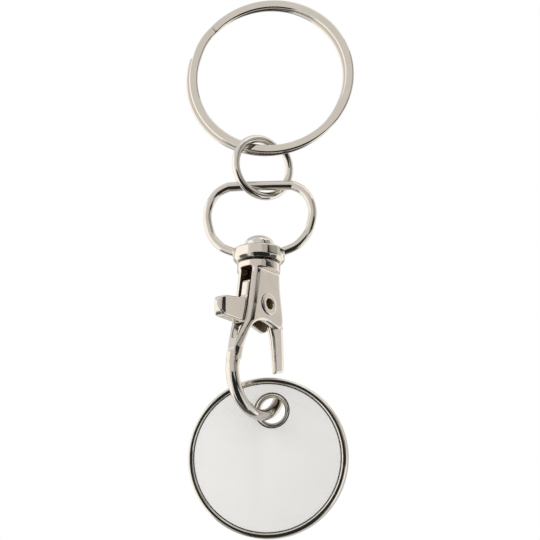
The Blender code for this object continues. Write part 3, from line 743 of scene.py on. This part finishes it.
def shade_and_dull_inside(material, color, roughness):
    """Paint shade on the inner walls that the mesh marks: a darker brown colour as painted shade, and
    the duller roughness of unplated metal.
    """
    nodes, links = material.node_tree.nodes, material.node_tree.links
    shader = nodes["Principled BSDF"]
    mark = nodes.new("ShaderNodeAttribute")
    mark.attribute_name = "inside"
    for socket, value in (("Base Color", (*color, 1)), ("Roughness", roughness)):
        outer = shader.inputs[socket].links[0].from_socket
        mix = nodes.new("ShaderNodeMix")
        mix.data_type = "RGBA" if socket == "Base Color" else "FLOAT"
        share, plain, inner = [item for item in mix.inputs if item.enabled]
        links.new(mark.outputs["Fac"], share)
        links.new(outer, plain)
        inner.default_value = value
        result = [item for item in mix.outputs if item.enabled][0]
        links.new(result, shader.inputs[socket])
    return material


def pale_face_material():
    """Smooth off-white face with a barely cloudy tone and a soft gloss."""
    material, tree, shader = new_material("pale_face")
    place = tree.nodes.new("ShaderNodeTexCoord")
    clouds = add_noise(tree, place, FACE_CLOUD_FINENESS, FACE_CLOUD_DETAIL)
    add_tones(tree, shader, clouds, FACE_TONE_SPAN, FACE_DARKER, FACE_LIGHTER)
    add_grain(tree, shader, place, FACE_GRAIN, FACE_GRAIN_FINENESS, FACE_GRAIN_DETAIL)
    shader.inputs["Roughness"].default_value = FACE_ROUGHNESS
    return material


WIRE_METAL = plated("bright_wire", *WIRE_FINISH)
CAST_METAL = plated("bright_casting", *CAST_FINISH)
POLISHED_METAL = plated("polished_plate", *POLISHED_FINISH)
# The slot's and the bore's inner walls are darkened to brown as painted shade, and made rougher
SLOTTED_METAL = shade_and_dull_inside(plated("slotted_casting", *CAST_FINISH), *SLOT_WALL_SHADE_AND_DULL)
BORED_METAL = shade_and_dull_inside(plated("bored_plate", *POLISHED_FINISH), *BORE_WALL_SHADE_AND_DULL)
# Dark brown spring: painted shade of the slot
SPRING_METAL = plated("drawn_spring", *SPRING_SHADE_FINISH)
PALE_FACE = pale_face_material()


# Pieces

def make_key_ring():
    """Two turns of flat wire: front layer, crossover and back layer, a little off each other."""
    layer = 2 * math.pi - KEY_CROSSOVER
    total = 2 * layer + KEY_CROSSOVER
    shift = Vector((*KEY_TURN_SHIFT, KEY_LAYER_PITCH / 2))
    path = []
    for step in range(KEY_STEPS + 1):
        run = total * step / KEY_STEPS
        back = smooth_step((run - layer) / KEY_CROSSOVER)
        path.append(polar(KEY_RADIUS, KEY_FRONT_END - run) + shift * (1 - 2 * back))
    flat = (KEY_BAND_WIDTH, KEY_BAND_THICKNESS, KEY_BAND_EDGE)
    ring = sweep("key_ring_band", path, [1] * len(path), flat=flat)
    finish(ring, "key_ring_body", WIRE_METAL, KEY_FRAME, "key_ring")


def make_jump_ring():
    """One turn of round wire whose ends lie side by side."""
    depth = (JUMP_WIRE + JUMP_END_GAP) / 2
    total = 2 * math.pi - JUMP_CUT
    path = []
    for step in range(JUMP_STEPS + 1):
        share = step / JUMP_STEPS
        point = Vector(JUMP_CENTER) + polar(JUMP_RADIUS, JUMP_FRONT_END - total * share)
        point.z += depth * (1 - 2 * share)
        path.append(point)
    ring = sweep("jump_ring_wire", path, [JUMP_WIRE / 2] * len(path))
    finish(ring, "jump_ring_body", WIRE_METAL, JUMP_FRAME, "jump_ring")


def make_swivel_eye():
    """The loop and its bored collar, cast in one."""
    right = drawn(EYE_ARM_SHARES, (EYE_WIDTH - EYE_ARM) / 2, COLLAR_HEIGHT / 2 - EYE_HEIGHT)
    left = [Vector((-point.x, point.y, 0)) for point in reversed(right)]
    path = smooth_curve(left + right, EYE_KNOT_STEPS)
    radii = []
    for point in path:
        share = smooth_step(-point.y / EYE_BAR)
        radii.append((EYE_BAR + (EYE_ARM - EYE_BAR) * share) / 2)
    loop = sweep("swivel_eye_casting", path, radii)
    collar = turned(
        "collar",
        [
            (COLLAR_RADIUS - COLLAR_FOOT_EDGE, 0),
            (COLLAR_RADIUS, COLLAR_FOOT_EDGE),
            (COLLAR_RADIUS, COLLAR_HEIGHT - COLLAR_TOP_EDGE),
            (COLLAR_RADIUS - COLLAR_TOP_EDGE, COLLAR_HEIGHT),
        ],
    )
    bore = rod("bore", RIVET_SHANK_RADIUS + RUN_GAP, -CUT_OVERRUN, COLLAR_HEIGHT + CUT_OVERRUN)
    cut(loop, move(collar, COLLAR_FOOT @ UPRIGHT), operation="UNION")
    cut(loop, move(bore, COLLAR_FOOT @ UPRIGHT))
    cast(loop, FINE_VOXEL, EYE_PASSES)
    finish(loop, "eye_body", CAST_METAL, EYE_FRAME, "swivel_eye", ALL_SMOOTH)


def make_swivel_rivet():
    """Domed head, shank through the collar and the web, and a spread foot."""
    head_bottom = COLLAR_HEIGHT + SEAT_GAP
    side_top = head_bottom + RIVET_HEAD_FLAT
    dome = RIVET_HEAD_HEIGHT - RIVET_HEAD_FLAT
    foot_top = -WEB_BOTTOM - SEAT_GAP / 2
    profile = [
        (RIVET_FOOT_RADIUS, foot_top - RIVET_FOOT_HEIGHT),
        (RIVET_FOOT_RADIUS, foot_top),
        (RIVET_SHANK_RADIUS, foot_top),
        (RIVET_SHANK_RADIUS, head_bottom),
        (RIVET_HEAD_RADIUS, head_bottom),
    ]
    for step in range(DOME_STEPS):
        angle = math.pi / 2 * step / DOME_STEPS
        profile.append((RIVET_HEAD_RADIUS * math.cos(angle), side_top + dome * math.sin(angle)))
    rivet = turned("swivel_rivet_head", profile)
    soften(rivet, RUN_GAP)
    place = HOOK_FRAME @ UPRIGHT
    finish(rivet, "hook", POLISHED_METAL, place, "swivel_rivet")


def hook_path():
    """Centre line of the arm's end, the bowl and the tip."""
    center = Vector((BOWL_OFFSET, -BOWL_DROP, 0))
    top = Vector((-ARM_TOP_OFFSET, -ARM_TOP_DROP, 0))
    bend_center = center + Vector((BOWL_RADIUS - TIP_BEND_RADIUS, 0, 0))
    bowl = arc(center, BOWL_RADIUS, math.pi, 2 * math.pi, BOWL_STEPS)
    return [top] + bowl + arc(bend_center, TIP_BEND_RADIUS, 0, TIP_BEND, TIP_STEPS)[1:]


def hook_radii():
    """Radius of the wire at each point: full on the arm, thinner in the eyelet, least at the tip."""
    widths = [HOOK_WIRE]
    for step in range(BOWL_STEPS + 1):
        share = smooth_step(step * TAPER_SHARE / BOWL_STEPS)
        widths.append(HOOK_WIRE + (HOOK_TIP_WIRE - HOOK_WIRE) * share)
    for step in range(1, TIP_STEPS + 1):
        widths.append(HOOK_TIP_WIRE + (TIP_END_WIRE - HOOK_TIP_WIRE) * step / TIP_STEPS)
    return [width / 2 for width in widths]


def edge_at(knots, height):
    """Where an outline drawn downward stands at a height."""
    for upper, lower in zip(knots, knots[1:]):
        if upper.y >= height >= lower.y:
            return upper.lerp(lower, (upper.y - height) / (upper.y - lower.y)).x
    return knots[0].x if height > knots[0].y else knots[-1].x


def dome_cheeks(body, corners):
    """Round the outer faces of the cheeks and the arm toward their left edge."""
    left = corners[:ARM_CORNERS]
    half_slot = SLOT_WIDTH / 2
    thickness = BODY_THICKNESS / 2 - half_slot
    for vertex in body.data.vertices:
        inset = vertex.co.x - edge_at(left, vertex.co.y)
        if inset < CHEEK_DOME_WIDTH and -BODY_DOME_END < vertex.co.y < -NECK_HEIGHT:
            across = held((CHEEK_DOME_WIDTH - inset) / CHEEK_DOME_RADIUS)
            drop = CHEEK_DOME_RADIUS * (1 - math.sqrt(1 - across * across))
            share = held((abs(vertex.co.z) - half_slot / 2) / thickness)
            fade = smooth_step((BODY_DOME_END + vertex.co.y) / ARM_THICKNESS)
            fade *= smooth_step((-NECK_HEIGHT - vertex.co.y) / NECK_HEIGHT)
            vertex.co.z -= math.copysign(drop * share * fade, vertex.co.z)


def thin_cheeks(body):
    """Slice the body's plate across and thin it step by step toward the arm."""
    rungs = [CHEEK_TAPER_LENGTH * step / CHEEK_TAPER_STEPS for step in range(CHEEK_TAPER_STEPS + 1)]
    slice_across(body, [-CHEEK_TAPER_START - rung for rung in rungs], (0, 1, 0))
    for vertex in body.data.vertices:
        share = held((-vertex.co.y - CHEEK_TAPER_START) / CHEEK_TAPER_LENGTH)
        vertex.co.z *= 1 - share * (1 - ARM_THICKNESS / BODY_THICKNESS)


def mark_inside(item, test):
    """Mark the inner walls that get painted shade and a duller, unplated finish."""
    mark = item.data.attributes.new("inside", "FLOAT", "POINT")
    for vertex, share in zip(item.data.vertices, mark.data):
        share.value = 1.0 if test(*vertex.co) else 0.0


def in_slot(x, y, z):
    """Whether a place on the hook's casting lies on a wall of its slot."""
    bottom = -SLOT_DULL_END if x < 0 else -SLOT_LOWER_END
    within = abs(z) < SLOT_WIDTH / 2 + CAST_VOXEL / 2 and bottom < y < -WEB_BOTTOM + CAST_VOXEL
    wall = y > -SPRING_WALL_END and x > BODY_HALF_WIDTH - SPRING_WALL + CAST_VOXEL
    return within and not wall


def true_slot(body):
    """Set the slot's side walls back to their planes, which the smoothing drew inwards."""
    half_slot = SLOT_WIDTH / 2
    wall_start = BODY_HALF_WIDTH - SPRING_WALL - SLOT_CORNER
    for vertex in body.data.vertices:
        x, y, z = vertex.co
        beside_web = -SLOT_FULL_END + SLOT_CORNER < y < -WEB_BOTTOM - SLOT_CORNER
        past_wall = y > -SPRING_WALL_END - SLOT_CORNER and x > wall_start
        drawn_in = SLOT_DRAWN_SHARE * half_slot < abs(z) < half_slot
        if beside_web and drawn_in and not past_wall:
            vertex.co.z = math.copysign(half_slot, z)


def slot_cutters():
    """The slot in three blocks: beside the spring wall, right through, and its narrower end."""
    half_slot = SLOT_WIDTH / 2
    upper = box(
        "upper_slot",
        (-CUT_REACH, -SPRING_WALL_END - CUT_OVERRUN, -half_slot),
        (BODY_HALF_WIDTH - SPRING_WALL, -WEB_BOTTOM, half_slot),
    )
    lower = box(
        "lower_slot",
        (-CUT_REACH, -SLOT_FULL_END, -half_slot),
        (CUT_REACH, -SPRING_WALL_END, half_slot),
    )
    end = box(
        "slot_end",
        (-CUT_REACH, -SLOT_LOWER_END, -half_slot),
        (CUT_REACH, -SLOT_FULL_END + CUT_OVERRUN, half_slot),
    )
    for vertex in end.data.vertices:
        if vertex.co.y < -SLOT_FULL_END:
            vertex.co.z *= SLOT_END_SHARE
    return upper, lower, end


def bore_cutters():
    """Bars for the neck's bore, the rivet foot's pocket and the pivot's bore."""
    shank = RIVET_SHANK_RADIUS + RUN_GAP
    foot_room = WEB_BOTTOM + SEAT_GAP + RIVET_FOOT_HEIGHT + SEAT_GAP
    neck_bore = rod("neck_bore", shank, -WEB_BOTTOM - CUT_OVERRUN, CUT_OVERRUN, "Y")
    pocket = rod("foot_pocket", RIVET_FOOT_RADIUS + RUN_GAP, -foot_room, -WEB_BOTTOM, "Y")
    pivot = rod("pivot_bore", TUBE_RIVET_RADIUS + RUN_GAP, -BODY_THICKNESS, BODY_THICKNESS)
    move(pivot, Matrix.Translation((PIVOT_OFFSET, -PIVOT_DROP, 0)))
    return neck_bore, pocket, pivot


def make_hook_body():
    """Neck, slotted body, arm, bowl and tip in one casting."""
    corners = drawn(BODY_OUTLINE_SHARES, BODY_HALF_WIDTH, BODY_LENGTH)
    body = plate("hook_casting", filleted(corners, BODY_CORNER_RADIUS), BODY_THICKNESS)
    soften(body, BODY_EDGE)
    thin_cheeks(body)
    neck = rod("neck", NECK_RADIUS, -SEAT_GAP - NECK_HEIGHT, -SEAT_GAP, "Y")
    wire = sweep("wire", hook_path(), hook_radii())
    cut(body, neck, wire, operation="UNION")
    cut(body, *slot_cutters(), *bore_cutters())
    cast(body, CAST_VOXEL, BODY_PASSES)
    dome_cheeks(body, corners)
    true_slot(body)
    # The slot's walls get painted shade: darker brown
    mark_inside(body, in_slot)
    finish(body, "hook", SLOTTED_METAL, HOOK_FRAME, "hook_body", ALL_SMOOTH)


def round_thumb_end(lever):
    """Slice the thumb tab's end across and narrow the slices to a half-round end."""
    start = TAB_REACH - THUMB_ROUND
    angles = [math.pi / 2 * step / THUMB_STEPS for step in range(THUMB_STEPS)]
    slice_across(lever, [-start - THUMB_ROUND * math.sin(angle) for angle in angles], (1, 0, 0))
    for vertex in lever.data.vertices:
        share = held((-vertex.co.x - start) / THUMB_ROUND, THUMB_LAST_SHARE)
        vertex.co.z *= math.sqrt(1 - share * share)
        lift = vertex.co.y - THUMB_MIDDLE
        vertex.co.y = THUMB_MIDDLE + lift * math.sqrt(1 - THUMB_CORNER_SHARE * share * share)


def gate_arm():
    """The lever's gate arm, thinner toward its end."""
    outer = drawn(GATE_OUTER_SHARES, GATE_OFFSET, GATE_LENGTH)
    inner = drawn(GATE_INNER_SHARES, GATE_OFFSET - GATE_WIDTH, GATE_LENGTH)
    arm = plate("arm", outer + inner, GATE_ROOT_THICKNESS)
    soften(arm, GATE_EDGE)
    for vertex in arm.data.vertices:
        share = smooth_step(-vertex.co.y / GATE_LENGTH)
        vertex.co.z *= 1 + (GATE_END_THICKNESS / GATE_ROOT_THICKNESS - 1) * share
    return arm


def facet_gate(lever):
    """Slope both faces of the gate arm away from a ridge along it."""
    outer = drawn(GATE_OUTER_SHARES, GATE_OFFSET, GATE_LENGTH)
    for vertex in lever.data.vertices:
        if vertex.co.x > 0 and vertex.co.y < -GATE_FACET_TOP:
            past = vertex.co.x - edge_at(outer, vertex.co.y) + GATE_FACET_WIDTH
            slope = GATE_FACET_SLOPES[past > 0]
            vertex.co.z -= math.copysign(abs(past) * slope, vertex.co.z)


def make_gate_lever():
    """Tail, thumb tab, boss and gate arm in one casting."""
    boss = arc(Vector((0, 0, 0)), LEVER_BOSS_RADIUS, LEVER_BOSS_START, LEVER_BOSS_END, BOSS_STEPS)
    tail = drawn(LEVER_TAIL_SHARES, TAIL_OUTER, TAIL_HEIGHT)
    tab = drawn(TAB_SHARES, TAB_REACH, TAB_BOTTOM)
    lever = plate("lever_casting", tail + boss + tab, LEVER_THICKNESS)
    soften(lever, LEVER_EDGE)
    round_thumb_end(lever)
    tail_side = box(
        "tail_side",
        (-TAIL_OUTER - CUT_OVERRUN, TAIL_CUT_BOTTOM, -LEVER_THICKNESS),
        (-LEVER_BOSS_RADIUS, TAIL_HEIGHT + CUT_OVERRUN, TAIL_CUT),
    )
    cut(lever, tail_side)
    cut(lever, gate_arm(), operation="UNION")
    cut(lever, rod("bore", TUBE_RIVET_RADIUS + RUN_GAP, -LEVER_THICKNESS, LEVER_THICKNESS))
    cast(lever, FINE_VOXEL, LEVER_PASSES)
    facet_gate(lever)
    finish(lever, "lever", CAST_METAL, LEVER_FRAME, "gate_lever", ALL_SMOOTH)


def in_bore(x, y, z):
    """Whether a place on the pivot rivet lies on the wall of its bore."""
    return math.hypot(x, y) < TUBE_RIVET_BORE + RUN_GAP / 4


def make_pivot_rivet():
    """Tube through both cheeks and the lever, with a flared rim outside each cheek."""
    height = TUBE_FLANGE_HEIGHT
    rim_low = BODY_THICKNESS / 2 + RUN_GAP
    rim_high = rim_low + height
    upper = [(TUBE_RIVET_BORE, rim_low)]
    for across, down in FLANGE_MOUTH_SHARES:
        upper.append((TUBE_RIVET_BORE + height * across, rim_high - height * down))
    for across, down in FLANGE_RIM_SHARES:
        upper.append((TUBE_RIVET_FLARE - height * across, rim_high - height * down))
    upper += [(TUBE_RIVET_FLARE, rim_low), (TUBE_RIVET_RADIUS, rim_low)]
    rivet = turned("pivot_rivet_tube", both_faces(upper), tube=True)
    soften(rivet, RUN_GAP / 2, TUBE_EDGE_ROUNDS)
    # The bore's wall gets painted shade: darker brown
    mark_inside(rivet, in_bore)
    finish(rivet, "hook", BORED_METAL, LEVER_FRAME, "pivot_rivet")


def make_gate_spring():
    """Small compression spring between the lever's tail and the body's inner wall."""
    wall = BODY_HALF_WIDTH - SPRING_WALL - PIVOT_OFFSET - SEAT_GAP
    start = LEVER_TAIL_SHARES[-1][0] * TAIL_OUTER + SEAT_GAP
    length = wall - start - 2 * SPRING_WIRE
    turns = length / SPRING_PITCH
    steps = int(SPRING_STEPS * turns)
    start_piece()
    bpy.ops.mesh.primitive_circle_add(
        vertices=SPRING_SIDES,
        radius=SPRING_WIRE / 2,
        location=(SPRING_COIL_RADIUS, 0, SPRING_WIRE),
        rotation=(math.pi / 2, 0, 0),
    )
    spring = named("gate_spring_coil")
    settle()
    apply(
        spring,
        "SCREW",
        axis="Z",
        angle=2 * math.pi * turns,
        screw_offset=length,
        steps=steps,
        render_steps=steps,
    )
    choose(spring)
    start_edit()
    bpy.ops.mesh.fill_holes(sides=0)
    end_edit()
    along = Matrix.Translation((start, SPRING_LIFT, 0)) @ Matrix.Rotation(math.pi / 2, 4, "Y")
    finish(spring, "hook", SPRING_METAL, LEVER_FRAME @ along, "gate_spring")
    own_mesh(spring)


def through_token(name, radius):
    """A bar through the token where its eyelet sits."""
    bar = rod(name, radius, -TOKEN_THICKNESS, TOKEN_THICKNESS)
    return move(bar, Matrix.Translation((0, TOKEN_HOLE_OFFSET, 0)))


def make_token():
    """Metal blank with raised rims, and a pale inlay in each face."""
    center = TOKEN_FRAME @ Matrix.Translation((0, -TOKEN_HOLE_OFFSET, 0))
    half = TOKEN_THICKNESS / 2
    web = TOKEN_WEB_THICKNESS / 2
    recess = TOKEN_RADIUS - TOKEN_RIM_WIDTH
    lower = [(recess, -web)]
    lower += [(TOKEN_RADIUS - inset, drop - half) for inset, drop in RIM_PROFILE]
    blank = turned("token_blank", both_faces(lower), TOKEN_SIDES)
    cut(blank, through_token("hole", EYELET_BARREL_RADIUS + RUN_GAP))
    finish(blank, "token", POLISHED_METAL, center, "coin_blank", TOKEN_SHARP_EDGE)
    radius = recess - INLAY_GAP
    low = web + INLAY_GAP
    high = low + INLAY_THICKNESS
    for side, shift in (("front", 0), ("back", -low - high)):
        face = turned(side + "_face", [(radius, low), (radius, high)], TOKEN_SIDES)
        cut(face, through_token("flange", EYELET_FLANGE_RADIUS + INLAY_GAP))
        soften(face, INLAY_EDGE)
        place = center @ Matrix.Translation((0, 0, shift))
        finish(face, "token", PALE_FACE, place, side + "_inlay")


def make_eyelet():
    """Rolled tube through the blank, with a rounded flange on each face."""
    flange_low = TOKEN_WEB_THICKNESS / 2 + INLAY_GAP
    middle = (EYELET_FLANGE_RADIUS + EYELET_BORE_RADIUS) / 2
    half = (EYELET_FLANGE_RADIUS - EYELET_BORE_RADIUS) / 2
    upper = []
    for step in range(EYELET_ROLL_STEPS + 1):
        angle = math.pi * (1 - step / EYELET_ROLL_STEPS)
        radius = middle + half * math.cos(angle)
        if radius < middle:
            radius += EYELET_MOUTH_EASE * (EYELET_BORE_RADIUS + half * math.sin(angle) - radius)
        upper.append((radius, flange_low + EYELET_FLANGE_THICKNESS * math.sin(angle)))
    upper.append((EYELET_BARREL_RADIUS, flange_low))
    eyelet = turned("rolled_eyelet", both_faces(upper), tube=True)
    finish(eyelet, "token", POLISHED_METAL, TOKEN_FRAME, "eyelet")


# Stage

def camera_frame():
    """The point that the camera is aimed at, its direction and its up."""
    toward = Vector((0, math.cos(CAMERA_PITCH), math.sin(CAMERA_PITCH)))
    up = Vector((0, -math.sin(CAMERA_PITCH), math.cos(CAMERA_PITCH)))
    key_down = KEY_ROW - IMAGE_PIXELS / 2
    return Vector(CAMERA_AIM) + up * key_down * PIXEL, toward, up


def make_camera():
    """Long lens at the photograph's angle."""
    aim, toward, _ = camera_frame()
    data = bpy.data.cameras.new("photo_camera")
    data.sensor_width = SENSOR * MILLIMETRES
    data.lens = SENSOR * CAMERA_DISTANCE / (PIXEL * IMAGE_PIXELS) * MILLIMETRES
    data.clip_start = CLIP_NEAR
    data.clip_end = CLIP_FAR
    camera = bpy.data.objects.new("photo_camera", data)
    camera.location = aim - toward * CAMERA_DISTANCE
    camera.rotation_euler = toward.to_track_quat("-Z", "Y").to_euler()
    bpy.context.scene.collection.objects.link(camera)
    bpy.context.scene.camera = camera


def make_world():
    """White surroundings for the camera and for reflections, a little less for the fill light."""
    world = bpy.data.worlds.new("studio")
    world.use_nodes = True
    bpy.context.scene.world = world
    nodes, links = world.node_tree.nodes, world.node_tree.links
    back = nodes["Background"]
    back.inputs["Color"].default_value = (1, 1, 1, 1)
    path = nodes.new("ShaderNodeLightPath")
    seen = path.outputs["Is Camera Ray"]
    for ray in ("Is Glossy Ray", "Is Transmission Ray"):
        either = nodes.new("ShaderNodeMath")
        either.operation = "MAXIMUM"
        links.new(seen, either.inputs[0])
        links.new(path.outputs[ray], either.inputs[1])
        seen = either.outputs["Value"]
    level = nodes.new("ShaderNodeMapRange")
    level.inputs["To Min"].default_value = FILL_LEVEL
    level.inputs["To Max"].default_value = 1.0
    links.new(seen, level.inputs["Value"])
    links.new(level.outputs["Result"], back.inputs["Strength"])


def glow(name, color):
    """A stage material that shines in one tone."""
    material, tree, shader = new_material(name)
    tree.nodes.remove(shader)
    emission = tree.nodes.new("ShaderNodeEmission")
    emission.inputs["Color"].default_value = (*color, 1)
    emission.inputs["Strength"].default_value = 1.0
    tree.links.new(emission.outputs["Emission"], tree.nodes["Material Output"].inputs["Surface"])
    return material


def card(name, azimuth, elevation, width, height, tone, distance=1.0, slant=0):
    """A plain card seen only in reflections, at angles from the camera's own direction."""
    aim, toward, up = camera_frame()
    turn = Matrix.Rotation(math.radians(azimuth), 3, up)
    side = turn @ toward.cross(up)
    lift = Matrix.Rotation(math.radians(-elevation), 3, side)
    direction = lift @ turn @ -toward
    start_piece()
    size_x = 2 * distance * math.tan(math.radians(width / 2))
    size_y = 2 * distance * math.tan(math.radians(height / 2))
    bpy.ops.mesh.primitive_plane_add(size=1, location=aim + direction * distance)
    item = named(name)
    for vertex in item.data.vertices:
        vertex.co.y += slant * vertex.co.x * size_x / size_y
    item.scale = (size_x, size_y, 1)
    item.rotation_euler = (-direction).to_track_quat("Z", "Y").to_euler()
    item.data.materials.append(glow(name, [tone * share for share in CARD_TINT]))
    item.visible_camera = False
    item.visible_diffuse = False
    item.visible_shadow = False
    item.visible_transmission = False


def make_floor():
    """Pale floor under the chain, open from below."""
    start_piece()
    bpy.ops.mesh.primitive_plane_add(size=FLOOR_SIZE, location=(0, 0, FLOOR_HEIGHT))
    floor = named("floor")
    material, tree, shader = new_material("floor")
    shader.inputs["Base Color"].default_value = (*FLOOR_TONE, 1)
    shader.inputs["Roughness"].default_value = FLOOR_ROUGHNESS
    nodes, links = tree.nodes, tree.links
    side = nodes.new("ShaderNodeNewGeometry")
    clear = nodes.new("ShaderNodeBsdfTransparent")
    mix = nodes.new("ShaderNodeMixShader")
    links.new(side.outputs["Backfacing"], mix.inputs["Fac"])
    links.new(shader.outputs["BSDF"], mix.inputs[1])
    links.new(clear.outputs["BSDF"], mix.inputs[2])
    links.new(mix.outputs["Shader"], nodes["Material Output"].inputs["Surface"])
    floor.data.materials.append(material)
    floor.visible_glossy = False


def lamp(name, place, size, power):
    """A soft lamp turned to the keyring."""
    data = bpy.data.lights.new(name, "AREA")
    data.shape = "RECTANGLE"
    data.size, data.size_y = size
    data.energy = power
    item = bpy.data.objects.new(name, data)
    item.location = place
    item.rotation_euler = (Vector(LAMP_AIM) - Vector(place)).to_track_quat("-Z", "Y").to_euler()
    item.visible_glossy = False
    bpy.context.scene.collection.objects.link(item)


# The keyring and its stage

make_key_ring()
make_jump_ring()
make_swivel_eye()
make_swivel_rivet()
make_hook_body()
make_gate_lever()
make_pivot_rivet()
make_gate_spring()
make_token()
make_eyelet()
make_camera()
make_world()
make_floor()
for row in CARDS:
    card(*row)
for row in LAMPS:
    lamp(*row)
bpy.context.scene.view_settings.view_transform = "Standard"
start_piece()
